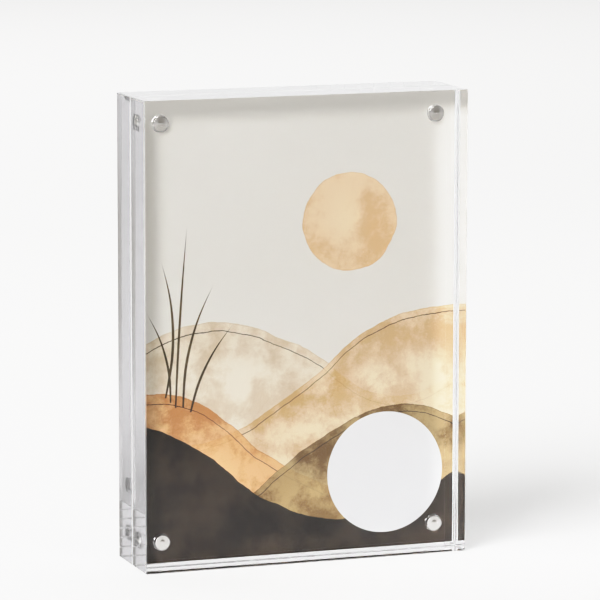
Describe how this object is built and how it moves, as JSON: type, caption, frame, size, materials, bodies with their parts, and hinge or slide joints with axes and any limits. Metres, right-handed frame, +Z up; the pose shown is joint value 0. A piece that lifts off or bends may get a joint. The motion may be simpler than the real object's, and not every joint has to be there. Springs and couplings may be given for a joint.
{
  "type": "acrylic block photo frame",
  "caption": "Free-standing block frame: clear acrylic blocks with corner magnets hold a print between them, seen from both sides.",
  "frame": {"origin": "middle of the closed frame's foot, halfway through its depth", "axes": "+Z up along the long edges, +X to the right along the width, +Y from the front block to the back block"},
  "size_m": [0.13, 0.0344, 0.18],
  "materials": {
    "clear_acrylic": "polished",
    "printed_card": "matte",
    "plated_magnet": "satin"
  },
  "bodies": {
    "back_half": {"back_block": "clear_acrylic", "back_magnet_top_left": "plated_magnet", "back_magnet_top_right": "plated_magnet", "back_magnet_bottom_left": "plated_magnet", "back_magnet_bottom_right": "plated_magnet"},
    "front_half": {"front_block": "clear_acrylic", "front_magnet_top_left": "plated_magnet", "front_magnet_top_right": "plated_magnet", "front_magnet_bottom_left": "plated_magnet", "front_magnet_bottom_right": "plated_magnet"},
    "print": {"photo_insert": "printed_card"}
  },
  "joints": [
    {"name": "front_pull", "type": "slide", "parent": "back_half", "child": "front_half", "axis": [0, -1, 0], "range_m": [0, 0.06]},
    {"name": "print_lift", "type": "slide", "parent": "back_half", "child": "print", "axis": [0, 0, 1], "range_m": [0, 0.19]}
  ]
}
